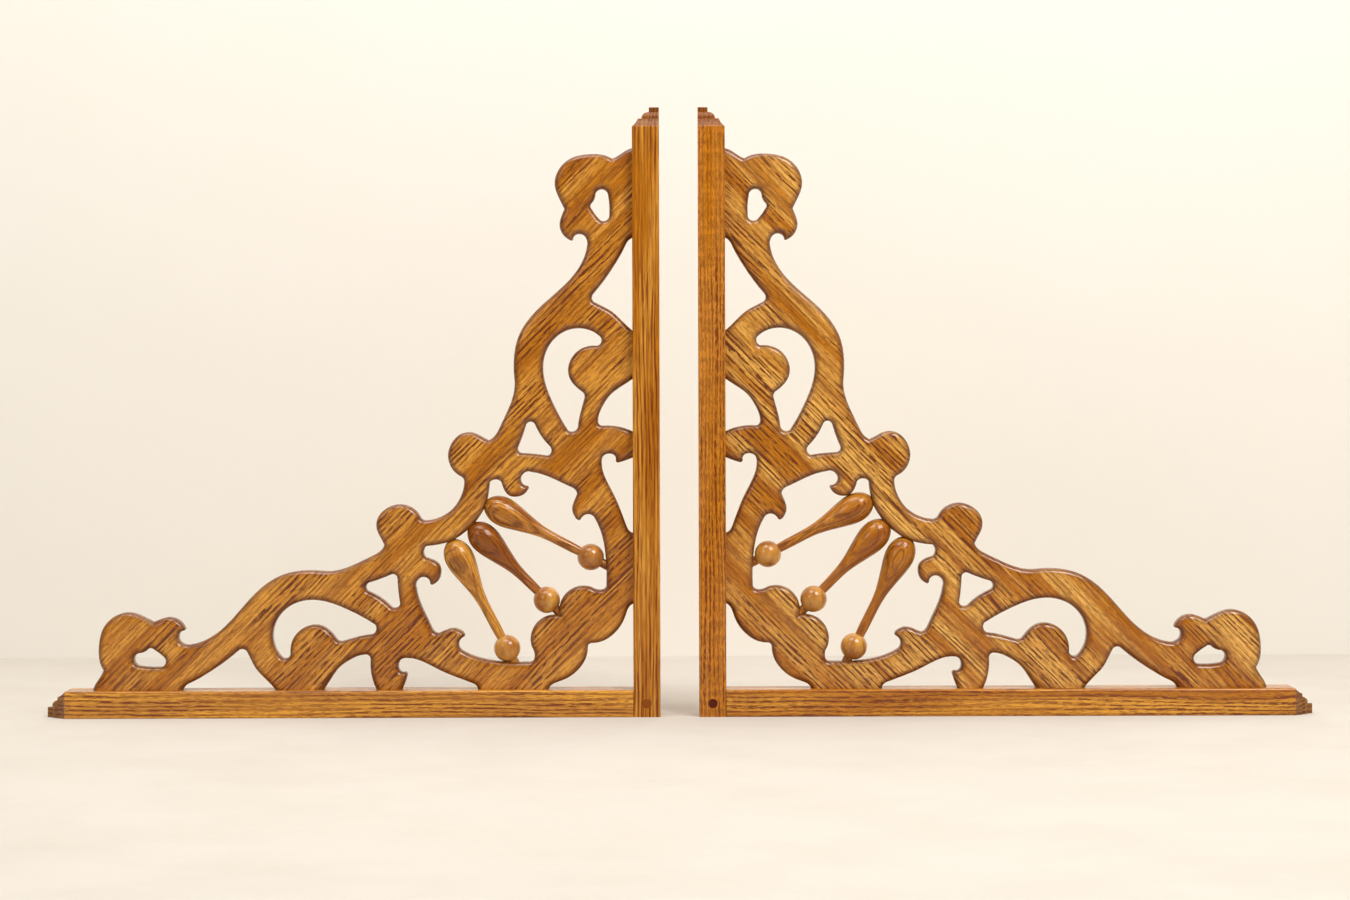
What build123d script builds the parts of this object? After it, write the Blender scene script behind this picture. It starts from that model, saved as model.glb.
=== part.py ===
from build123d import *
from math import acos, cos, sin
import os

# A pair of oak corner brackets used as book ends. All sizes are in millimetres.
#
# Frame: X runs along the shelf with the books' gap centred on 0, Y is the brackets'
# depth with their middle plane at 0, and Z is up from the shelf.
# Each bracket is first modelled as the right-hand one with its upright's outer face at
# x = 0, its base running along +X and its underside at z = 0. "Along" and "up" below are
# those two distances. The left-hand bracket is its mirror image.

# Book gap
BOOK_GAP = 39.0  # free space between the two uprights

# Rails (the upright and the base)
RAIL_WIDTH = 27.0  # seen from the front: 5/4 stock planed to 1 1/16 inch
RAIL_DEPTH = 38.0  # front to back: 1 1/2 inch
UPRIGHT_HEIGHT = 611.5
BASE_LENGTH = 616.5  # from the upright's outer face to the base's tip
INNER_EASE = 2.5  # radius on the long edges beside the fretwork
OUTER_EASE = 1.0  # radius on the long edges of the flat outer faces

# Moulded rail tip, from the tip inwards; the same cutter runs round three sides
TIP_BLOCK = 10.0  # width left at the very tip
TIP_BLOCK_LENGTH = 4.7
OVOLO_RADIUS = 7.5
TIP_FILLET = 3.5  # flat step under the ovolo
COVE_LENGTH = 8.4
COVE_SAG = 0.5
MOULDING_DEPTH = RAIL_WIDTH - TIP_BLOCK
COVE_DEPTH = MOULDING_DEPTH - OVOLO_RADIUS - TIP_FILLET

# Corner joint: a blind tenon on the base, pinned from front to back by a dowel
TENON_LENGTH = 22.0
TENON_THICKNESS = 12.0
TENON_HEIGHT = 19.0
MORTISE_CLEARANCE = 0.5  # past the tenon's end
DOWEL_DIAMETER = 9.5

# Fretwork panel
PANEL_THICKNESS = 19.0

# Turned spindles: a club, its slim neck, a bead threaded on the neck, and a glued foot
CLUB_DIAMETER = 29.4
CLUB_NOSE = 20.0  # from the widest place to the round end
NECK_DIAMETER = 9.3
BEAD_DIAMETER = 26.8
BORE_GAP = 0.05  # around the neck in the bead's bore
FOOT_REACH = 29.0  # from the bead's centre to the buried end of the neck
PIN_DIAMETER = 6.0
PIN_IN_CLUB = 24.0
PIN_PAST_NOSE = 3.0  # this far beyond the club's end the pin is inside the rim
PIN_REACH = 34.0  # more than the rim's width; the pin is trimmed flush with the rim

# Where each spindle stands: bead centre (along, up), angle to the base in degrees,
# and the length from the bead's centre to the club's round end
RIGHT_SPINDLES = {
    "upper": ((69.5, 161.8), 27.7, 118.8),
    "middle": ((115.3, 116.5), 46.0, 107.3),
    "lower": ((155.7, 68.6), 63.0, 122.6),
}
LEFT_SPINDLES = {
    "upper": ((69.9, 159.2), 27.6, 119.5),
    "middle": ((114.2, 116.3), 44.7, 107.6),
    "lower": ((154.2, 67.8), 62.3, 122.8),
}

# Countersunk wood screws, number 8, driven from the rails' outer faces into the feet
SCREW_LENGTH = 44.5
SCREW_SHANK = 4.2
SCREW_HEAD = 8.3
SCREW_HEAD_HEIGHT = 2.4
SCREW_POINT = 5.0
SCREW_RIM = 0.3  # straight edge of the head
SCREW_SLOT = (1.2, 1.1)  # width and depth
SLOT_TURN = 50.0  # degrees from one screw's slot to the next
SCREW_PLACES = (168.0, 363.0, 545.0)  # distance from the corner, on both rails

# The fretwork's outline, one half of it. The other half is its mirror image across the
# bracket's 45 degree diagonal. Each row is one smooth run as (along, up) points: two
# points are a straight edge, three are an arc, and more are a spline. Rows meet at the
# panel's feet, notches and hook tips.
OUTER_OUTLINE = [
    # rounded notch behind the corner, then the corner lobe down to the first foot
    [(71.7, 71.7), (72.6, 70.4), (72.9, 68.9)],
    [
        (72.9, 68.9), (73.3, 63.5), (76, 55.3), (82, 46.8), (91, 39.3), (101, 34.7),
        (108.5, 31.7), (112.5, 27),
    ],
    [(112.5, 27), (183.5, 27)],
    # long hooked gap
    [(183.5, 27), (186, 31.3), (192, 34.2), (205, 39), (220, 45.2), (240, 55.2), (248, 57.8)],
    [(248, 57.8), (254.5, 58.4), (260.5, 57), (263.2, 51.5), (261.5, 45.7), (257.5, 44.3)],
    [(257.5, 44.3), (254.7, 43.5), (254.3, 41.2)],
    [(254.3, 41.2), (256, 35.5), (259.5, 27)],
    [(259.5, 27), (285.5, 27)],
    # round-topped gap
    [(285.5, 27), (289.5, 37), (291.3, 46), (291.5, 57)],
    [(291.5, 57), (292.8, 60.6), (296.5, 62)],
    [(296.5, 62), (305, 60.2), (313, 56.2), (322, 49.9), (330, 39.8), (338.5, 27)],
    [(338.5, 27), (387, 27)],
    # pointed gap under the long arm
    [(387, 27), (396, 36.8), (407, 48.7), (413, 60), (416, 65.8)],
    [(416, 65.8), (420, 67.8), (424.5, 66)],
    [(424.5, 66), (440, 53.7), (460, 40.7), (469, 35.8), (476, 32.3), (480.5, 27)],
    [(480.5, 27), (570.5, 27)],
    # end scroll
    [(570.5, 27), (566.5, 35.7), (562, 42.5), (560, 47)],
    [
        (560, 47), (563.7, 55.5), (564.6, 70), (560.5, 88.5), (549, 101), (534, 105),
        (520, 100.6), (509.5, 95.4),
    ],
    [(509.5, 95.4), (502, 98.4), (494, 100.2), (485, 97.7), (479.5, 92.3), (477.8, 89)],
    [(477.8, 89), (477.9, 87.5), (479.5, 86.5)],
    [(479.5, 86.5), (483.4, 83.8), (483.7, 77.5), (479.5, 73.5), (473, 72.5)],
    # long arm
    [
        (473, 72.5), (460, 76), (440, 88.8), (420, 110.2), (400, 130.5), (380, 142.4),
        (360, 146.5), (340, 146.2),
    ],
    [(340, 146.2), (320, 147.9), (300, 156.2), (288, 162), (280, 167.5), (277.3, 172.2)],
    # round lobe and the rim behind the clubs
    [
        (277.3, 172.2), (280.5, 178.5), (285, 188.5), (283.8, 199.5), (276, 208.3), (262, 213),
        (249, 209.3), (241, 200.5),
    ],
    [(241, 200.5), (238.5, 197.6), (234.5, 196.8)],
    [(234.5, 196.8), (225, 198.6), (215, 203.3), (208.4, 208.4)],
]
WINDOW_OUTLINE = [
    # lobe beside the middle bead
    [(101, 101), (123.4, 94.5), (129, 68.6)],
    [(129, 68.6), (126.5, 61.5), (127.5, 56.3), (133, 54.2)],
    [(133, 54.2), (145, 54), (165, 55.3), (185, 59.6), (198, 65.5)],
    [(198, 65.5), (202.4, 71.5), (200.5, 77.2)],
    [(200.5, 77.2), (198.5, 79), (196.8, 80)],
    # lower hook
    [(196.8, 80), (196.6, 82.3), (199.5, 85.5), (208, 88.4), (216.5, 86.2), (223, 83.4)],
    [(223, 83.4), (227.5, 85.6), (231, 92), (236, 102.5), (242.5, 118), (245, 129)],
    [(245, 129), (244, 136.3), (238, 139.8), (233, 137.7), (231.3, 133)],
    [(231.3, 133), (229.8, 131.9), (227.5, 132.7)],
    # upper hook
    [(227.5, 132.7), (222.5, 137), (220.2, 144), (221.5, 151.7), (227.5, 156.8), (235, 159.4)],
    [(235, 159.4), (237.6, 165), (235, 170.9)],
    [(235, 170.9), (222, 172.5), (208, 176.9), (198, 183.2), (189.8, 189.8)],
]
COMMA_HOLE = [
    [(287, 92.3), (285.9, 86.5), (290.5, 82.3)],
    [(290.5, 82.3), (300, 80.9), (310, 78.3), (319, 75.8)],
    [(319, 75.8), (322.5, 75.8), (325.3, 77.6)],
    [
        (325.3, 77.6), (331, 84.6), (338.5, 90.2), (349, 92.1), (360, 88.3), (368, 80.5),
        (371.8, 70), (371.9, 62.5),
    ],
    [(371.9, 62.5), (375, 59), (380.5, 59.4)],
    [
        (380.5, 59.4), (386, 67), (389.4, 81), (386, 96), (374, 109.8), (355, 116.8),
        (335, 115.1), (315, 107.6), (298, 99), (287, 92.3),
    ],
]
LEAF_HOLE = [
    [(261.6, 113), (262.8, 121), (264.2, 138)],
    [(264.2, 138), (265.6, 141.5), (269.5, 142.7)],
    [(269.5, 142.7), (280, 138.4), (292, 134.5)],
    [(292, 134.5), (295.6, 130), (292.5, 125.3)],
    [(292.5, 125.3), (282, 119.8), (271, 110.8)],
    [(271, 110.8), (265.5, 109.2), (261.6, 113)],
]
SCROLL_EYE = [
    [(509.5, 67.7), (502.5, 63), (498.5, 59.5)],
    [(498.5, 59.5), (498, 53), (503.5, 50.2)],
    [(503.5, 50.2), (514, 50.2), (524, 51.5)],
    [(524, 51.5), (529.1, 57.5), (524.5, 63.9)],
    [(524.5, 63.9), (520, 64.7), (515.7, 67.2)],
    [(515.7, 67.2), (512.7, 69), (509.5, 67.7)],
]


def run_edge(points):
    """One smooth run of an outline, on the bracket's middle plane."""
    places = [Vector(along, 0, up) for along, up in points]
    if len(places) == 2:
        return Edge.make_line(*places)
    if len(places) == 3:
        return Edge.make_three_point_arc(*places)
    return Edge.make_spline(places)


def swapped(outline):
    """The outline's mirror image across the diagonal, still head to tail."""
    return [[(up, along) for along, up in reversed(points)] for points in reversed(outline)]


def loop(outline):
    """A closed wire through an outline's runs."""
    return Wire([run_edge(points) for points in outline])


def fretwork_panel():
    """The sawn panel before it is drilled."""
    holes = [loop(WINDOW_OUTLINE + swapped(WINDOW_OUTLINE))]
    for hole in (COMMA_HOLE, LEAF_HOLE, SCROLL_EYE):
        holes.append(loop(hole))
        holes.append(loop(swapped(hole)))
    face = Face(loop(OUTER_OUTLINE + swapped(OUTER_OUTLINE)), holes)
    return extrude(face, amount=PANEL_THICKNESS / 2, dir=(0, 1, 0), both=True)


def tip_profile(length):
    """The moulding's run as (inset from the rail's side, distance along the rail)."""
    shoulder = length - TIP_BLOCK_LENGTH - OVOLO_RADIUS - COVE_LENGTH
    step = shoulder + COVE_LENGTH
    cove_middle = (COVE_DEPTH / 2 + COVE_SAG, shoulder + COVE_LENGTH / 2 - COVE_SAG)
    ovolo_inset = COVE_DEPTH + TIP_FILLET
    slant = OVOLO_RADIUS * (1 - 0.5**0.5)
    return [
        [(0, 0), (0, shoulder)],
        [(0, shoulder), cove_middle, (COVE_DEPTH, step)],
        [(COVE_DEPTH, step), (ovolo_inset, step)],
        [
            (ovolo_inset, step),
            (ovolo_inset + slant, step + OVOLO_RADIUS - slant),
            (MOULDING_DEPTH, step + OVOLO_RADIUS),
        ],
        [(MOULDING_DEPTH, step + OVOLO_RADIUS), (MOULDING_DEPTH, length)],
    ]


def moulded_block(length, low_x, high_x):
    """A block as tall as the rail's length, its +X side at high_x carrying the moulding."""
    runs = [[(high_x - inset, up) for inset, up in run] for run in tip_profile(length)]
    runs.append([runs[-1][-1], (low_x, length)])
    runs.append([(low_x, length), (low_x, 0)])
    runs.append([(low_x, 0), (high_x, 0)])
    return extrude(Face(loop(runs)), amount=RAIL_DEPTH, dir=(0, 1, 0), both=True)


def rail(length):
    """A rail standing up from z = 0 with its flat outer face at x = 0 and its tip moulded
    on the front, the back and the fretwork side."""
    half = RAIL_DEPTH / 2
    section = Pos(RAIL_WIDTH / 2, 0) * Rectangle(RAIL_WIDTH, RAIL_DEPTH)
    section = fillet(section.vertices().sort_by(Axis.X)[:2], OUTER_EASE)
    section = fillet(section.vertices().sort_by(Axis.X)[-2:], INNER_EASE)
    bar = extrude(section, amount=length)
    side = moulded_block(length, 0, RAIL_WIDTH)
    face = moulded_block(length, -half, half)
    return bar & side & (Rot(0, 0, 90) * face) & (Rot(0, 0, -90) * face)


def along_y(diameter, length, along, up):
    """A rod from front to back at (along, up)."""
    return Plane.XZ.offset(-length / 2) * Pos(along, up) * Cylinder(
        diameter / 2, length, align=(Align.CENTER, Align.CENTER, Align.MIN)
    )


def spindle_axis(seat):
    """The plane at the bead's centre whose normal runs along the spindle to the club."""
    (along, up), angle, _ = seat
    return Plane((along, 0, up)).rotated((0, 90 - angle, 0))


def turned_run(length):
    """The spindle's flank as (radius, height above the bead's centre), from the bead up to
    where the club's elliptical nose meets its pin."""
    neck = NECK_DIAMETER / 2
    club = CLUB_DIAMETER / 2
    widest = length - CLUB_NOSE
    flank = [
        (neck, BEAD_DIAMETER / 2),
        (neck + 0.4, length - 78),
        (neck + 1.3, length - 64),
        (neck + 3.6, length - 52),
        (neck + 7.6, length - 36),
        (club, widest),
    ]
    pin_angle = acos(PIN_DIAMETER / 2 / club)
    for angle in (0.35 * pin_angle, 0.7 * pin_angle, pin_angle):
        flank.append((club * cos(angle), widest + CLUB_NOSE * sin(angle)))
    return flank


def turned_with_end(seat, end):
    """A spindle whose core beyond the nose stops at the given height, as a bore when that
    is below the nose and as the pin when it is above."""
    flank = turned_run(seat[2])
    nose_radius = flank[-1][0]
    outline = Polyline(flank[-1], (nose_radius, end), (0, end), (0, -FOOT_REACH))
    outline += Polyline((0, -FOOT_REACH), (flank[0][0], -FOOT_REACH), flank[0])
    outline += Spline(flank)
    return spindle_axis(seat) * revolve(Plane.XZ * make_face(outline), Axis.Z)


def spindle(seat):
    """Club, neck and foot, turned from one piece and bored for the club's pin."""
    return turned_with_end(seat, seat[2] - PIN_IN_CLUB)


def spindle_hole(seat):
    """What a spindle and its pin take out of the panel."""
    return turned_with_end(seat, seat[2] + PIN_REACH)


def bead(seat):
    """A ball bored through for the neck."""
    ball = Sphere(BEAD_DIAMETER / 2) - Cylinder(NECK_DIAMETER / 2 + BORE_GAP, 2 * BEAD_DIAMETER)
    return spindle_axis(seat) * ball


def club_pin(seat, panel):
    """The rod through the rim into the club's nose, flush with the rim's outer edge."""
    grip = (Align.CENTER, Align.CENTER, Align.MIN)
    radius = PIN_DIAMETER / 2
    foot = spindle_axis(seat) * Pos(0, 0, seat[2] - PIN_IN_CLUB)
    inner = foot * Cylinder(radius, PIN_IN_CLUB + PIN_PAST_NOSE, align=grip)
    whole = foot * Cylinder(radius, PIN_IN_CLUB + PIN_REACH, align=grip)
    return inner + (whole & panel)


def screw_body():
    """A screw pointing up, its countersunk head flush with z = 0, before it is slotted."""
    head = SCREW_HEAD / 2
    shank = SCREW_SHANK / 2
    outline = Polyline(
        (0, 0),
        (head, 0),
        (head, SCREW_RIM),
        (shank, SCREW_HEAD_HEIGHT),
        (shank, SCREW_LENGTH - SCREW_POINT),
        (0, SCREW_LENGTH),
        close=True,
    )
    return revolve(Plane.XZ * make_face(outline), Axis.Z)


def wood_screw():
    """The finished screw, its slot cut across the head."""
    slot_width, slot_depth = SCREW_SLOT
    return screw_body() - Box(2 * SCREW_HEAD, slot_width, 2 * slot_depth)


def screw_seats():
    """Where the screws go in: the upright's seats, then the base's."""
    in_upright = []
    in_base = []
    for turn, place in enumerate(SCREW_PLACES):
        in_upright.append(Pos(0, 0, place) * Rot(0, 90, 0) * Rot(0, 0, SLOT_TURN * turn))
        in_base.append(Pos(place, 0, 0) * Rot(0, 0, SLOT_TURN * (turn + 1)))
    return in_upright, in_base


def tenon(extra=0.0):
    """The base's tenon, or with extra length its mortise in the upright."""
    block = Box(
        TENON_LENGTH + extra, TENON_THICKNESS, TENON_HEIGHT,
        align=(Align.MAX, Align.CENTER, Align.CENTER),
    )
    return Pos(RAIL_WIDTH, 0, RAIL_WIDTH / 2) * block


def laid_down(standing):
    """A standing rail laid along +X, its flat outer face down."""
    return Plane(origin=(0, 0, 0), x_dir=(0, 0, 1), z_dir=(1, 0, 0)) * standing


def bracket(seats):
    """All pieces of one right-hand bracket, by name."""
    panel = fretwork_panel()
    dowel = along_y(DOWEL_DIAMETER, RAIL_DEPTH, RAIL_WIDTH / 2, RAIL_WIDTH / 2)
    upright_seats, base_seats = screw_seats()
    screw_holes = [seat * screw_body() for seat in upright_seats + base_seats]

    corner_block = Box(RAIL_WIDTH, RAIL_DEPTH, RAIL_WIDTH, align=(Align.MIN, Align.CENTER, Align.MIN))
    upright = rail(UPRIGHT_HEIGHT) - tenon(MORTISE_CLEARANCE) - dowel - screw_holes[:3]
    base = laid_down(rail(BASE_LENGTH)) - corner_block + tenon() - dowel - screw_holes[3:]

    pieces = {"upright": upright, "base_rail": base, "corner_dowel": dowel}
    for name, seat in seats.items():
        pieces[name + "_spindle"] = spindle(seat)
        pieces[name + "_bead"] = bead(seat)
    pieces["club_pins"] = Compound(children=[club_pin(seat, panel) for seat in seats.values()])
    pieces["fretwork"] = panel - [spindle_hole(seat) for seat in seats.values()] - screw_holes
    pieces["upright_screws"] = Compound(children=[seat * wood_screw() for seat in upright_seats])
    pieces["base_screws"] = Compound(children=[seat * wood_screw() for seat in base_seats])
    return pieces


os.makedirs("parts", exist_ok=True)
for name, piece in bracket(RIGHT_SPINDLES).items():
    export_step(Pos(BOOK_GAP / 2, 0, 0) * piece, "parts/right_" + name + ".step")
for name, piece in bracket(LEFT_SPINDLES).items():
    placed = Pos(BOOK_GAP / 2, 0, 0) * piece
    export_step(mirror(placed, about=Plane.YZ), "parts/left_" + name + ".step")
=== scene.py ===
import bmesh
import bpy
import numpy as np
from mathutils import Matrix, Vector
from mathutils.bvhtree import BVHTree
from mathutils.geometry import delaunay_2d_cdt


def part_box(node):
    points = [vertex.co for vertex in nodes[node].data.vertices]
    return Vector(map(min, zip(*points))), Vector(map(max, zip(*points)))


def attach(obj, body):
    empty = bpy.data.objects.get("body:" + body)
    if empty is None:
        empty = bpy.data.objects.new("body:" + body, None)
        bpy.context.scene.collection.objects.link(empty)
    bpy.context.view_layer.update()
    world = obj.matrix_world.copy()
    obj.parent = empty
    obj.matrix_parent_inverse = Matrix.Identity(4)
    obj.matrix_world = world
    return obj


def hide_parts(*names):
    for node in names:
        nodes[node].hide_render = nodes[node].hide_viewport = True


# A pair of oak fretwork brackets used as book ends. Metres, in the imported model's frame.


def linear(red, green, blue):
    """A display colour of 0 to 255 a channel as the linear colour that shaders take."""
    display = [c / 255 for c in (red, green, blue)]
    return [((c + 0.055) / 1.055) ** 2.4 if c > 0.04045 else c / 12.92 for c in display] + [1.0]


SIDES = ("left", "right")
PLACES = ("upper", "middle", "lower")

# Camera: as good as level, straight in front of the rails' front faces.
CAMERA_X = -0.004
CAMERA_DISTANCE = 2.869
CAMERA_HEIGHT = 0.336
LENS_MM = 76.0
SENSOR_WIDTH_MM = 36.0
SHIFT_Y = -0.051
ROLL = 0.003

# Stage: a floor under the object and a wall behind it.
WALL_Y = 0.613
STAGE_HALF_WIDTH = 6.0
WALL_PALE = linear(240, 235, 226)
WALL_PATCH = linear(238, 232, 220)
FLOOR_PALE = linear(207, 199, 189)
FLOOR_PATCH = linear(199, 190, 179)

# Lights: each one's name, place, target, side and power in watts.
MIDDLE = (0, 0, 0.3)
LOW_ON_WALL = (-0.3, WALL_Y, 0.3)
LIGHTS = (
    ("key", (1.3, -1.6, 2.5), MIDDLE, 1.3, 71),
    ("fill", (-2.0, -2.4, 1.6), MIDDLE, 1.2, 13),
    ("top", (-0.6, -0.7, 2.6), MIDDLE, 1.0, 14),
    ("wash", (-0.6, 0.05, 2.7), LOW_ON_WALL, 2.4, 39),
)
LIGHT_COLOUR = (1.0, 0.995, 0.98)
WORLD_COLOUR = (1.0, 0.985, 0.95, 1.0)
WORLD_AS_LIGHT = 0.2
WORLD_AS_SEEN = 0.75

# The fretwork's rounded-over edges. LAYERS are the depths in from an edge, as shares of the
# radius, at which the rounding has a row of points. The last one is how far the edges' darkening
# reaches, which is stain and painted shade of the rounding.
ROUND_OVER = 0.0062
LAYERS = (0.034, 0.134, 0.293, 0.5, 0.741, 1.0, 1.25)
STAIN_AND_SHADE_REACH = LAYERS[-1] * ROUND_OVER

# The steps along its outline, and the turns in radians that count as a corner.
OUTLINE_STEP = 0.0019
SHORTEST_STEP = 0.0007
CORNER_TURN = 0.35
FAN_STEP = 0.4
CREASE_ANGLE = 0.7

# How closely the rounding is worked out. Points closer than WELD are one, and points within
# ON_FACE of a face lie on it. A ray inwards is cut, by halving, where another edge comes nearer
# than NEAREST_SHARE of its length. It has a point in each row of which it reaches FULL_SHARE,
# and one at its end if it ends between the two RIDGE_SHARES of the radius.
WELD = 1e-6
ON_FACE = 1e-5
HALVINGS = 12
NEAREST_SHARE = 0.985
FULL_SHARE = 0.999
RIDGE_SHARES = (0.08, 0.98)
CHUNK = 400

# The panel is glued up from boards that run parallel to its long edge. These are the
# joints' distances from the bracket's corner, and each board's brightness.
BOARD_JOINTS = (0.115, 0.235, 0.35)
BOARD_TONES = (1.1, 1.03, 1.05, 1.04)
JOINT_BLUR = 0.0004

# How fast oak's figure changes along its fibres, across them and front to back, per metre.
WARP_SCALES = (5, 14, 14)
RING_SCALES = (5, 80, 80)
TONE_SCALES = (4, 60, 60)
ZONE_SCALES = (7, 45, 45)
BROAD_SCALES = (12, 150, 150)
FIBRE_SCALES = (60, 1000, 1000)
RAY_SCALES = (160, 35, 35)
WEAR_SCALES = (60, 60, 60)

# Stained oak.
GOLD = linear(217, 151, 56)
PALE_GOLD = linear(229, 172, 82)
BASE_GOLD = linear(229, 161, 52)
BASE_DEEP = linear(204, 138, 46)
AMBER = linear(184, 112, 8)
RAIL_AMBER = linear(187, 121, 42)
STREAK = linear(150, 80, 10)
BROAD_STREAK = linear(134, 66, 14)
PORE_BROWN = linear(98, 40, 4)
RAIL_MARKS = linear(118, 52, 6)
# The rim colour below darkens the fretwork's rounded edges: partly stain gathered there, partly
# painted shade of the rounding.
RIM_STAIN_AND_SHADE = linear(98, 46, 16)
SAWN_END = linear(92, 44, 22)

# Turned and small wood.
CLUB_LIGHT = linear(222, 156, 62)
CLUB_MIDDLE = linear(194, 124, 30)
CLUB_DEEP = linear(168, 98, 20)
CLUB_RINGS = linear(104, 52, 20)
DARK_CLUB_LIGHT = linear(182, 108, 24)
DARK_CLUB_DEEP = linear(140, 76, 12)
BEAD_LIGHT = linear(212, 152, 68)
BEAD_DEEP = linear(160, 96, 32)
DARK_BEAD_LIGHT = linear(192, 128, 56)
DARK_BEAD_DEEP = linear(140, 80, 28)
PIN_LIGHT = linear(150, 92, 44)
PIN_DEEP = linear(120, 68, 32)
DOWEL_LIGHT = {"left": linear(140, 72, 10), "right": linear(100, 34, 12)}
DOWEL_DEEP = {"left": linear(120, 58, 8), "right": linear(80, 24, 10)}
DOWEL_SEED = {"left": 1.3, "right": 2.3}
WOOD_FLECK = linear(95, 50, 20)

STEEL_DARK = linear(150, 148, 142)
STEEL_PALE = linear(190, 188, 182)

# What one piece of oak may set for itself. Lengths are in metres and strengths from 0 to 1.
# A growth ring is a wave of -1 to 1, and band_start is where on it the dark part begins. rings
# is the direction across the rings, where that isn't straight across the grain, and tip is how
# far along the grain a moulded tip ends.
PLAIN_OAK = {
    "band_width": 0.0048,
    "band_start": -0.6,
    "bands": 0.45,
    "pore_length": 0.014,
    "pore_width": 0.0021,
    "pores": 0.95,
    "dark": PORE_BROWN,
    "streaks": 0.5,
    "wander": 0.006,
    "coat": 0.4,
    "flecks": 0.0,
    "rings": None,
    "tip": None,
    "boards": False,
    "rounded": False,
}

# Each rail's grain direction, seed, light and deep colours, and its own figure.
RAILS = {
    "left_upright": (
        (0, 0, 1), 0.3, GOLD, AMBER,
        {"pore_length": 0.045, "band_width": 0.0042, "wander": 0.002, "streaks": 0.2},
    ),
    "right_upright": (
        (0, 0, 1), 1.7, RAIL_AMBER, AMBER,
        {"pore_length": 0.008, "band_width": 0.0038, "wander": 0.001, "streaks": 0.1, "flecks": 0.28},
    ),
    "left_base_rail": (
        (-1, 0, 0), 2.9, BASE_GOLD, BASE_DEEP,
        {"pore_length": 0.013, "band_width": 0.0046, "wander": 0.002, "streaks": 0.2, "coat": 0.7},
    ),
    "right_base_rail": (
        (1, 0, 0), 4.1, BASE_GOLD, AMBER,
        {"pore_length": 0.011, "band_width": 0.0046, "wander": 0.002, "streaks": 0.2, "coat": 0.7},
    ),
}

# The end grain of a rail's moulded tip takes more stain, over this much of its length.
TIP = 0.021
TIP_FADE = 0.08 * TIP

PANEL_SEED = {"left": 4.3, "right": 7.1}
PANEL_LIGHT = {"left": GOLD, "right": PALE_GOLD}
PANEL_FIGURE = {
    "wander": 0.005,
    "pore_length": 0.013,
    "pore_width": 0.0021,
    "pores": 0.95,
    "bands": 0.28,
    "coat": 0.75,
}
CLUB_SEED = {"left": 6.0, "right": 8.0}
CLUB_SEED_STEP = 1.3
CLUB_FIGURE = {
    "band_width": 0.0032,
    "band_start": 0.2,
    "wander": 0.008,
    "pore_length": 0.012,
    "pores": 0.6,
    "bands": 0.4,
    "coat": 0.6,
}

# A club's rings lie one behind the other, with this much lean along it and across it.
RING_LEAN_ALONG = 0.1
RING_LEAN_ACROSS = 0.3


class Graph:
    """Adds shader nodes to a new material and links them."""

    def __init__(self, name):
        self.material = bpy.data.materials.new(name)
        self.material.use_nodes = True
        self.tree = self.material.node_tree
        self.shader = self.tree.nodes["Principled BSDF"]

    def feed(self, socket, value):
        """Links a socket to another node's output, or sets it to a constant."""
        if isinstance(value, bpy.types.NodeSocket):
            self.tree.links.new(value, socket)
        else:
            socket.default_value = value

    def node(self, kind, inputs, **settings):
        made = self.tree.nodes.new("ShaderNode" + kind)
        for name, value in settings.items():
            setattr(made, name, value)
        for key, value in inputs.items():
            self.feed(made.inputs[key], value)
        return made

    def math(self, operation, first, second=0.0):
        return self.node("Math", {0: first, 1: second}, operation=operation).outputs[0]

    def add(self, first, second):
        return self.math("ADD", first, second)

    def times(self, first, second):
        return self.math("MULTIPLY", first, second)

    def remap(self, value, low, high, to_low=0.0, to_high=1.0):
        """Stretches low to high out to to_low to to_high, and holds what lies beyond."""
        return self.node("MapRange", {0: value, 1: low, 2: high, 3: to_low, 4: to_high}).outputs[0]

    def mix(self, factor, first, second, blend="MIX"):
        inputs = {0: factor, 6: first, 7: second}
        return self.node("Mix", inputs, data_type="RGBA", blend_type=blend).outputs[2]

    def along(self, direction, offset=0.0):
        """How far each point of the object lies along a direction."""
        place = self.node("TexCoord", {}).outputs["Object"]
        dot = self.node("VectorMath", {0: place, 1: direction}, operation="DOT_PRODUCT")
        return self.add(dot.outputs["Value"], offset)

    def axes(self, seed=0.0):
        """Each point's place along X, Y and Z."""
        return self.along((1, 0, 0), seed), self.along((0, 1, 0)), self.along((0, 0, 1))

    def noise(self, axes, scales, detail=1.0, roughness=0.5):
        """Noise stretched by a different amount along each of three axes."""
        scaled = [self.times(axis, scale) for axis, scale in zip(axes, scales)]
        vector = self.node("CombineXYZ", dict(enumerate(scaled))).outputs[0]
        inputs = {"Vector": vector, "Scale": 1.0, "Detail": detail, "Roughness": roughness}
        return self.node("TexNoise", inputs).outputs[0]

    def attribute(self, name):
        return self.node("Attribute", {}, attribute_name=name).outputs["Fac"]

    def finish(self, colour, roughness, height, depth, coat=0.0, metal=0.0):
        """Wires the shader: gloss that varies, fine relief, and a coat of varnish."""
        bump = self.node("Bump", {"Height": height, "Distance": depth, "Strength": 0.6})
        self.feed(self.shader.inputs["Base Color"], colour)
        self.feed(self.shader.inputs["Roughness"], roughness)
        self.feed(self.shader.inputs["Normal"], bump.outputs[0])
        self.feed(self.shader.inputs["Coat Weight"], coat)
        self.feed(self.shader.inputs["Coat Roughness"], 0.17)
        self.feed(self.shader.inputs["Metallic"], metal)
        self.feed(self.shader.inputs["Specular IOR Level"], 0.1)
        return self.material


def ring_wave(graph, place, waved, shift, look):
    """A wave of -1 to 1 across the growth rings, which are uneven in width."""
    layer = waved
    if look["rings"] is not None:
        layer = graph.add(graph.along(look["rings"]), graph.times(shift, 0.3))
    uneven = graph.times(graph.noise(place, RING_SCALES, 3), 2.8)
    phase = graph.add(graph.times(layer, 1 / look["band_width"]), uneven)
    return graph.math("SINE", graph.times(phase, 2 * np.pi))


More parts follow.
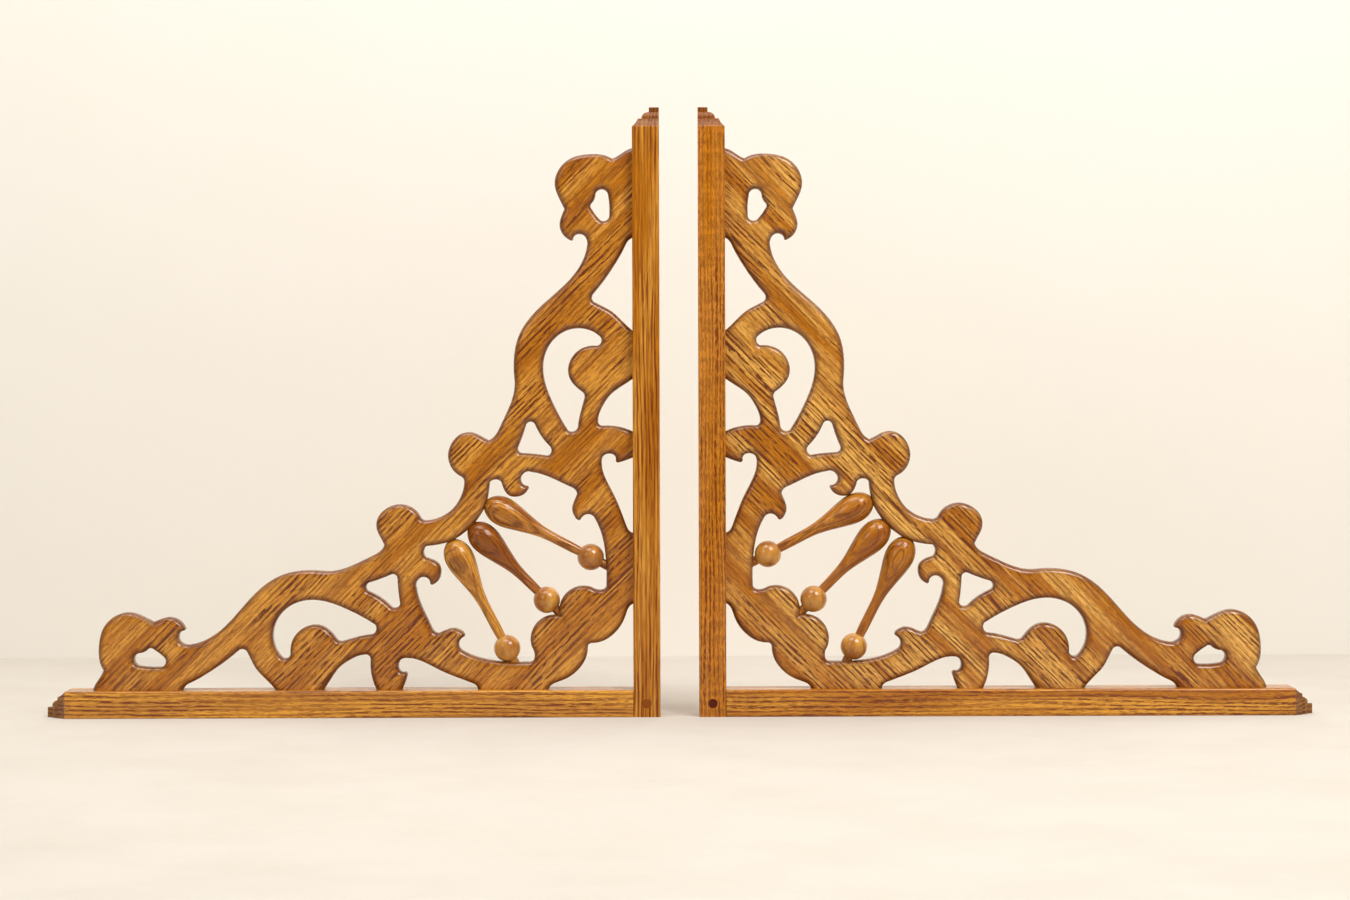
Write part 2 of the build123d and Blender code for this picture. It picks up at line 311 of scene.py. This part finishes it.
def pore_marks(graph, place, fibres, wave, look):
    """Short dark dashes in the early wood of each ring, and finer ones everywhere."""
    per_length = 1 / look["pore_length"]
    per_width = 1 / look["pore_width"]
    dashes = graph.noise(fibres, (per_length, per_width, per_width), 2)
    dashes = graph.remap(dashes, 0.44, 0.505)
    fine = graph.noise(fibres, (1.6 * per_length, 2.4 * per_width, 2.4 * per_width))
    fine = graph.remap(fine, 0.53, 0.61, 0, 0.55)
    zones = graph.remap(graph.noise(place, ZONE_SCALES, 2), 0.38, 0.56, 0.15, 1.0)
    lines = graph.times(graph.remap(wave, -0.25, 0.55), zones)
    return graph.math("MAXIMUM", graph.times(dashes, lines), fine)


def ring_colours(graph, fibres, wave, light, deep, streak, look):
    """The stained wood's colour before its pores: patches, rings and broad streaks."""
    tone = graph.remap(graph.noise(fibres, TONE_SCALES, 3), 0.4, 0.6)
    bands = graph.remap(wave, look["band_start"], 1.0)
    broad = graph.noise(fibres, BROAD_SCALES, 2)
    broad = graph.remap(broad, 0.53, 0.66, 0, look["streaks"])
    colour = graph.mix(tone, light, deep)
    colour = graph.mix(graph.times(bands, look["bands"]), colour, streak)
    return graph.mix(broad, colour, BROAD_STREAK)


def board_tone(graph, width):
    """The brightness of the board that a point is in, by its distance from the corner."""
    from_corner = graph.math("ABSOLUTE", width)
    tone = BOARD_TONES[0]
    for joint, before, after in zip(BOARD_JOINTS, BOARD_TONES, BOARD_TONES[1:]):
        step = graph.remap(from_corner, joint - JOINT_BLUR, joint + JOINT_BLUR, 0, after - before)
        tone = graph.add(step, tone)
    return tone


def oak_brightness(graph, place, fibre, look):
    """How bright the wood is from fibre to fibre, with its ray flecks and its boards."""
    brightness = graph.remap(fibre, 0.3, 0.7, 0.84, 1.12)
    if look["flecks"]:
        rays = graph.noise(place, RAY_SCALES, 2)
        lift = graph.remap(rays, 0.4, 0.65, 1.0, 1.0 + look["flecks"])
        brightness = graph.times(brightness, lift)
    if look["boards"]:
        brightness = graph.times(brightness, board_tone(graph, place[1]))
    return graph.node("CombineXYZ", {0: brightness, 1: brightness, 2: brightness}).outputs[0]


def stained_and_shaded_rim(graph, place, colour):
    """Darker on the rounded edges, for stain gathered there and as painted shade of the rounding, and
    worn in spots.
    """
    rim = graph.remap(graph.attribute("rim"), 0.18, 0.92, 0, 0.88)
    worn = graph.remap(graph.noise(place, WEAR_SCALES, 2), 0.35, 0.65, 0.8, 1.06)
    return graph.mix(graph.times(rim, worn), colour, RIM_STAIN_AND_SHADE)


def oak(name, grain, seed, light, deep, streak, **own):
    """Varnished oak. grain is the direction of its fibres in the XZ plane."""
    look = {**PLAIN_OAK, **own}
    graph = Graph(name)
    grain = Vector(grain).normalized()
    across = Vector((grain.z, 0, -grain.x))
    length = graph.along(grain, seed)
    width = graph.along(across)
    depth = graph.along((0, 1, 0))
    place = (length, width, depth)

    warp = graph.noise(place, WARP_SCALES, 2)
    shift = graph.times(graph.math("SUBTRACT", warp, 0.5), 2 * look["wander"])
    waved = graph.add(width, shift)
    fibres = (length, waved, depth)
    fibre = graph.noise(fibres, FIBRE_SCALES, 2)
    wave = ring_wave(graph, place, waved, shift, look)
    pores = pore_marks(graph, place, fibres, wave, look)

    colour = ring_colours(graph, fibres, wave, light, deep, streak, look)
    colour = graph.mix(1.0, colour, oak_brightness(graph, place, fibre, look), "MULTIPLY")
    colour = graph.mix(graph.times(pores, look["pores"]), colour, look["dark"])
    if look["rounded"]:
        # Rounded panels darken at their edges: stain, and painted shade of the rounding.
        colour = stained_and_shaded_rim(graph, place, colour)
    if look["tip"] is not None:
        sawn_from = look["tip"] - TIP + seed
        sawn = graph.remap(length, sawn_from, sawn_from + TIP_FADE, 0, 0.62)
        colour = graph.mix(sawn, colour, SAWN_END)
    rough = graph.remap(pores, 0, 1, 0.34, 0.55)
    height = graph.math("SUBTRACT", graph.times(fibre, 0.3), pores)
    return graph.finish(colour, rough, height, 0.00025, look["coat"])


def close_grained(name, seed, light, deep, coat, rough):
    """Smooth varnished wood with hardly any figure: beads, dowels and pins."""
    graph = Graph(name)
    axes = graph.axes(seed)
    cloud = graph.remap(graph.noise(axes, (90, 90, 45), 3), 0.35, 0.65)
    fleck = graph.remap(graph.noise(axes, (900, 900, 260), 2), 0.56, 0.72)
    colour = graph.mix(cloud, light, deep)
    colour = graph.mix(graph.times(fleck, 0.35), colour, WOOD_FLECK)
    gloss = graph.remap(cloud, 0, 1, rough, rough + 0.1)
    return graph.finish(colour, gloss, fleck, 0.00008, coat)


def steel(name):
    """Plain screw steel, faintly turned."""
    graph = Graph(name)
    marks = graph.noise(graph.axes(), (1200, 1200, 1200), 3)
    colour = graph.mix(marks, STEEL_DARK, STEEL_PALE)
    gloss = graph.remap(marks, 0.3, 0.7, 0.28, 0.5)
    return graph.finish(colour, gloss, marks, 0.00005, metal=1.0)


def matt(name, colour, patch, strength, patch_scale, relief):
    """A pale wall or floor with faint blotches."""
    graph = Graph(name)
    axes = graph.axes()
    blotch = graph.remap(graph.noise(axes, (patch_scale,) * 3, 4, 0.6), 0.4, 0.7, 0, strength)
    ripple = graph.noise(axes, (12 * patch_scale,) * 3, 3)
    rough = graph.remap(ripple, 0.3, 0.7, 0.85, 0.95)
    return graph.finish(graph.mix(blotch, colour, patch), rough, ripple, relief)


def one_sided(material):
    """Lets the back of a stage sheet be seen through, so that it hides nothing in front of it."""
    nodes_of = material.node_tree.nodes
    links = material.node_tree.links
    back = nodes_of.new("ShaderNodeNewGeometry").outputs["Backfacing"]
    clear = nodes_of.new("ShaderNodeBsdfTransparent").outputs[0]
    choice = nodes_of.new("ShaderNodeMixShader")
    links.new(back, choice.inputs[0])
    links.new(nodes_of["Principled BSDF"].outputs[0], choice.inputs[1])
    links.new(clear, choice.inputs[2])
    links.new(choice.outputs[0], nodes_of["Material Output"].inputs["Surface"])


def outline_walls(starts, ends):
    """Tall strips on an outline's segments, as a tree that gives the nearest of them."""
    count = len(starts)
    corners = [(x, y, z) for y in (-1, 1) for x, z in starts.tolist()]
    corners += [(x, y, z) for y in (-1, 1) for x, z in ends.tolist()]
    strips = [(i, 2 * count + i, 3 * count + i, count + i) for i in range(count)]
    return BVHTree.FromPolygons(corners, strips)


def distances(points, walls):
    """Each (x, z) point's distance to the nearest wall."""
    return np.array([walls.find_nearest((x, 0, z))[3] for x, z in points.tolist()])


def inside(points, starts, ends):
    """Whether each point lies within the closed outlines, by the even-odd rule."""
    found = np.empty(len(points), bool)
    rise = ends[:, 1] - starts[:, 1]
    rise = np.where(rise == 0, 1e-18, rise)
    for first in range(0, len(points), CHUNK):
        part = points[first : first + CHUNK]
        spans = (starts[:, 1] > part[:, 1:]) != (ends[:, 1] > part[:, 1:])
        crossing = starts[:, 0] + (part[:, 1:] - starts[:, 1]) / rise * (ends[:, 0] - starts[:, 0])
        found[first : first + CHUNK] = (spans & (part[:, :1] < crossing)).sum(1) % 2 == 1
    return found


def front_outlines(node):
    """The outlines of a flat panel's front face, each an array of (x, z) with wood on its left."""
    mesh = bmesh.new()
    mesh.from_mesh(node.data)
    bmesh.ops.remove_doubles(mesh, verts=mesh.verts, dist=WELD)
    front = min(v.co.y for v in mesh.verts)
    faces = [f for f in mesh.faces if all(v.co.y - front < ON_FACE for v in f.verts)]
    cap = set(faces)
    following = {}
    for face in faces:
        for corner in face.loops:
            if sum(f in cap for f in corner.edge.link_faces) == 1:
                following[corner.vert] = corner.link_loop_next.vert
    outlines = []
    while following:
        vert, after = following.popitem()
        run = [vert]
        while after is not run[0] and after in following:
            run.append(after)
            after = following.pop(after)
        outlines.append(np.array([(v.co.x, v.co.z) for v in run]))
    mesh.free()
    return outlines


def turn_at(before, here, after):
    """The signed angle that an outline turns through at a point, leftwards positive."""
    a = here - before
    b = after - here
    return float(np.arctan2(a[0] * b[1] - a[1] * b[0], a @ b))


def even_outline(outline):
    """The outline with even steps along it and its corners kept."""
    kept = []
    count = len(outline)
    for i, point in enumerate(outline):
        turn = abs(turn_at(outline[i - 1], point, outline[(i + 1) % count]))
        if kept and turn < CORNER_TURN and np.linalg.norm(point - kept[-1]) < SHORTEST_STEP:
            continue
        kept.append(point)
    steps = []
    for here, after in zip(kept, kept[1:] + kept[:1]):
        parts = max(1, int(np.ceil(np.linalg.norm(after - here) / OUTLINE_STEP)))
        steps += [here + (after - here) * k / parts for k in range(parts)]
    return np.array(steps)


def segments(outlines):
    """Every point of the outlines, and beside each the next one round."""
    starts = np.concatenate(outlines)
    ends = np.concatenate([np.roll(outline, -1, axis=0) for outline in outlines])
    return starts, ends


def free_walls(outlines, side):
    """Walls on the panel's outlines, except on the feet that meet the rails."""
    starts, ends = segments(outlines)
    upright_low, upright_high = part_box(side + "_upright")
    upright_face = upright_high.x if side == "right" else upright_low.x
    base_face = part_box(side + "_base_rail")[1].z
    from_upright = np.maximum(abs(starts[:, 0] - upright_face), abs(ends[:, 0] - upright_face))
    from_base = np.maximum(abs(starts[:, 1] - base_face), abs(ends[:, 1] - base_face))
    free = (from_upright >= ON_FACE) & (from_base >= ON_FACE)
    return outline_walls(starts[free], ends[free])


def inward_rays(outline):
    """Starting points and inward directions, fanned out where the wood goes round a corner."""
    starts = []
    directions = []
    count = len(outline)
    for i, point in enumerate(outline):
        before = point - outline[i - 1]
        first = np.arctan2(before[0], -before[1])
        turn = turn_at(outline[i - 1], point, outline[(i + 1) % count])
        fan = int(-turn / FAN_STEP) + 1 if turn < -CORNER_TURN else 0
        shares = np.linspace(0, 1, fan + 1) if fan else [0.5]
        for share in shares:
            angle = first + share * turn
            starts.append(point)
            directions.append((np.cos(angle), np.sin(angle)))
    return np.array(starts), np.array(directions)


def rounding_points(outline, walls):
    """Points inside an outline, in rows at the depths that its rounding needs."""
    origins, directions = inward_rays(outline)
    too_far = np.full(len(origins), STAIN_AND_SHADE_REACH)
    reach = np.zeros(len(origins))
    for _ in range(HALVINGS):
        middle = (too_far + reach) / 2
        trial = origins + directions * middle[:, None]
        clear = distances(trial, walls) >= NEAREST_SHARE * middle
        reach = np.where(clear, middle, reach)
        too_far = np.where(clear, too_far, middle)
    rows = []
    for layer in LAYERS:
        deep = ROUND_OVER * layer
        fits = reach >= deep * FULL_SHARE
        rows.append((origins + directions * deep)[fits])
    least, most = RIDGE_SHARES
    ridge = (reach < ROUND_OVER * most) & (reach > ROUND_OVER * least)
    rows.append((origins + directions * reach[:, None])[ridge])
    return np.concatenate(rows)


def triangulated(outlines, points):
    """The outlines and the points within them, joined up by triangles."""
    starts, ends = segments(outlines)
    border = []
    offset = 0
    for outline in outlines:
        size = len(outline)
        border += [(offset + i, offset + (i + 1) % size) for i in range(size)]
        offset += size
    flat = np.concatenate((starts, points[inside(points, starts, ends)]))
    verts, _, faces, _, _, _ = delaunay_2d_cdt([Vector(p) for p in flat], border, [], 0, WELD)
    plan = np.array([tuple(v) for v in verts])
    triangles = np.array([f for f in faces if len(f) == 3])
    return plan, triangles[inside(plan[triangles].mean(1), starts, ends)]


def panel_mesh(name, plan, triangles, walls, half):
    """Two rounded faces and the edge between them, with how far each point lies in the darkened edge
    (stain and painted shade) as "rim".
    """
    clearance = distances(plan, walls)
    deep = np.minimum(clearance, ROUND_OVER)
    rise = half - ROUND_OVER + np.sqrt(np.maximum(ROUND_OVER**2 - (ROUND_OVER - deep) ** 2, 0))
    front = np.column_stack((plan[:, 0], -rise, plan[:, 1]))
    back = np.column_stack((plan[:, 0], rise, plan[:, 1]))
    count = len(plan)
    edges = {(a, b) for t in triangles.tolist() for a, b in zip(t, t[1:] + t[:1])}
    border = sorted((a, b) for a, b in edges if (b, a) not in edges)
    sides = [(b, a, a + count, b + count) for a, b in border]
    every_face = triangles.tolist() + (triangles[:, ::-1] + count).tolist() + sides

    mesh = bpy.data.meshes.new(name)
    mesh.from_pydata(np.concatenate((front, back)).tolist(), [], every_face)
    # How deep into the edges' darkening each point lies: stain, and painted shade of the rounding.
    stain_and_shade = 1 - np.minimum(clearance, STAIN_AND_SHADE_REACH) / STAIN_AND_SHADE_REACH
    values = np.concatenate((stain_and_shade, stain_and_shade)).astype(np.float32)
    mesh.attributes.new("rim", "FLOAT", "POINT").data.foreach_set("value", values)
    mesh.shade_smooth()
    mesh.set_sharp_from_angle(angle=CREASE_ANGLE)
    return mesh


def drop_loose_points(mesh):
    """Deletes the points that no face uses."""
    loose = bmesh.new()
    loose.from_mesh(mesh)
    bmesh.ops.delete(loose, geom=[v for v in loose.verts if not v.link_faces], context="VERTS")
    loose.to_mesh(mesh)
    loose.free()


def rounded_panel(name, node, side):
    """The fretwork with both faces' edges rounded over, except on the feet that meet the rails."""
    low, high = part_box(node.name)
    outlines = [even_outline(outline) for outline in front_outlines(node)]
    walls = free_walls(outlines, side)
    points = np.concatenate([rounding_points(outline, walls) for outline in outlines])
    plan, triangles = triangulated(outlines, points)
    mesh = panel_mesh(name, plan, triangles, walls, (high.y - low.y) / 2)
    drop_loose_points(mesh)
    panel = bpy.data.objects.new(name, mesh)
    bpy.context.scene.collection.objects.link(panel)
    return panel


def paint(node, material):
    """Puts one material on an object."""
    node.data.materials.clear()
    node.data.materials.append(material)


def dress_rails(nodes):
    """Gives each rail its own oak, darker on its moulded tip."""
    for rail, (grain, seed, light, deep, figure) in RAILS.items():
        tip = max(corner.dot(Vector(grain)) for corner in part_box(rail))
        name = rail.replace("_rail", "") + "_oak"
        wood = oak(name, grain, seed, light, deep, STREAK, dark=RAIL_MARKS, tip=tip, **figure)
        paint(nodes[rail], wood)


def dress_panel(side, nodes):
    """Puts the rounded fretwork in the flat one's place."""
    sign = 1 if side == "right" else -1
    panel = rounded_panel(side + "_fretwork_rounded", nodes[side + "_fretwork"], side)
    wood = oak(side + "_fretwork_oak", (-sign, 0, 1), PANEL_SEED[side], PANEL_LIGHT[side], AMBER,
               STREAK, boards=True, rounded=True, **PANEL_FIGURE)
    paint(panel, wood)
    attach(panel, side + "_bracket")
    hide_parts(side + "_fretwork")


def dress_club(side, place, seed, nodes):
    """Gives a turned club oak with its grain along it, and rings that show as ovals on it."""
    spindle = side + "_" + place + "_spindle"
    bead_low, bead_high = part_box(side + "_" + place + "_bead")
    low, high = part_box(spindle)
    nose = Vector((high.x if side == "right" else low.x, 0, high.z))
    axis = nose - (bead_low + bead_high) / 2
    along = axis.normalized()
    across = Vector((along.z, 0, -along.x))
    rings = Vector((0, 1, 0)) + RING_LEAN_ALONG * along + RING_LEAN_ACROSS * across
    light = CLUB_LIGHT if side == "left" else CLUB_MIDDLE
    deep = CLUB_DEEP
    if (side, place) == ("left", "middle"):
        light = DARK_CLUB_LIGHT
        deep = DARK_CLUB_DEEP
    wood = oak(spindle + "_oak", (axis.x, 0, axis.z), seed, light, deep, CLUB_RINGS,
               rings=rings, **CLUB_FIGURE)
    paint(nodes[spindle], wood)


def sheet(name, corners, material):
    """A plain four-cornered sheet of the stage."""
    mesh = bpy.data.meshes.new(name)
    mesh.from_pydata(corners, [], [(0, 1, 2, 3)])
    flat = bpy.data.objects.new(name, mesh)
    bpy.context.scene.collection.objects.link(flat)
    mesh.materials.append(material)


def build_stage():
    """The floor, and the wall behind the object."""
    wide = STAGE_HALF_WIDTH
    wall_paint = matt("wall_paint", WALL_PALE, WALL_PATCH, 0.5, 1.5, 0.0004)
    floor_cloth = matt("floor_cloth", FLOOR_PALE, FLOOR_PATCH, 0.6, 7, 0.0006)
    one_sided(wall_paint)
    sheet("floor", [(-wide, -wide, 0), (wide, -wide, 0), (wide, wide, 0), (-wide, wide, 0)],
          floor_cloth)
    sheet("wall", [(-wide, WALL_Y, 0), (wide, WALL_Y, 0), (wide, WALL_Y, wide),
                   (-wide, WALL_Y, wide)], wall_paint)


def soft_light(name, place, target, size, power):
    """A large square light turned towards a point."""
    light = bpy.data.lights.new(name, "AREA")
    light.shape = "SQUARE"
    light.size = size
    light.energy = power
    light.color = LIGHT_COLOUR
    lamp = bpy.data.objects.new(name, light)
    lamp.location = place
    lamp.rotation_euler = (Vector(target) - Vector(place)).to_track_quat("-Z", "Y").to_euler()
    bpy.context.scene.collection.objects.link(lamp)


def dim_world():
    """The room beyond the stage: dim as a light, and pale where the camera sees it."""
    world = bpy.data.worlds.new("studio")
    world.use_nodes = True
    tree = world.node_tree
    background = tree.nodes["Background"]
    background.inputs["Color"].default_value = WORLD_COLOUR
    seen = tree.nodes.new("ShaderNodeLightPath").outputs["Is Camera Ray"]
    strength = tree.nodes.new("ShaderNodeMapRange")
    strength.inputs["To Min"].default_value = WORLD_AS_LIGHT
    strength.inputs["To Max"].default_value = WORLD_AS_SEEN
    tree.links.new(seen, strength.inputs["Value"])
    tree.links.new(strength.outputs["Result"], background.inputs["Strength"])
    bpy.context.scene.world = world


def place_camera():
    """The scene's camera, in front of the object."""
    lens = bpy.data.cameras.new("camera")
    lens.lens = LENS_MM
    lens.sensor_width = SENSOR_WIDTH_MM
    lens.shift_y = SHIFT_Y
    camera = bpy.data.objects.new("camera", lens)
    camera.location = (CAMERA_X, -CAMERA_DISTANCE, CAMERA_HEIGHT)
    camera.rotation_euler = (np.pi / 2, ROLL, 0)
    bpy.context.scene.collection.objects.link(camera)
    bpy.context.scene.camera = camera


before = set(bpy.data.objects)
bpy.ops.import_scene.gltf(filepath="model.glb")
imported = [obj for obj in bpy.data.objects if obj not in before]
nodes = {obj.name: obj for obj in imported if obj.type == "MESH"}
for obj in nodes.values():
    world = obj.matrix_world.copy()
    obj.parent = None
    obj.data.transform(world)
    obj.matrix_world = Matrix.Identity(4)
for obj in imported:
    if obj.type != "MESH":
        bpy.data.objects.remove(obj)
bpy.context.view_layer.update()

dress_rails(nodes)
bead_wood = close_grained("bead_varnish", 0.2, BEAD_LIGHT, BEAD_DEEP, 0.85, 0.25)
dark_bead_wood = close_grained("dark_bead_varnish", 1.1, DARK_BEAD_LIGHT, DARK_BEAD_DEEP, 0.85, 0.25)
pin_wood = close_grained("pin_wood", 0.9, PIN_LIGHT, PIN_DEEP, 0.2, 0.4)
screw_steel = steel("screw_steel")
for side in SIDES:
    dress_panel(side, nodes)
    for number, place in enumerate(PLACES):
        dress_club(side, place, CLUB_SEED[side] + CLUB_SEED_STEP * number, nodes)
        dark = (side, place) == ("left", "upper")
        paint(nodes[side + "_" + place + "_bead"], dark_bead_wood if dark else bead_wood)
    dowel_wood = close_grained(side + "_dowel_wood", DOWEL_SEED[side], DOWEL_LIGHT[side],
                               DOWEL_DEEP[side], 0.15, 0.4)
    paint(nodes[side + "_corner_dowel"], dowel_wood)
    paint(nodes[side + "_club_pins"], pin_wood)
    paint(nodes[side + "_upright_screws"], screw_steel)
    paint(nodes[side + "_base_screws"], screw_steel)

build_stage()
for light in LIGHTS:
    soft_light(*light)
dim_world()
place_camera()
bpy.context.scene.view_settings.view_transform = "Standard"
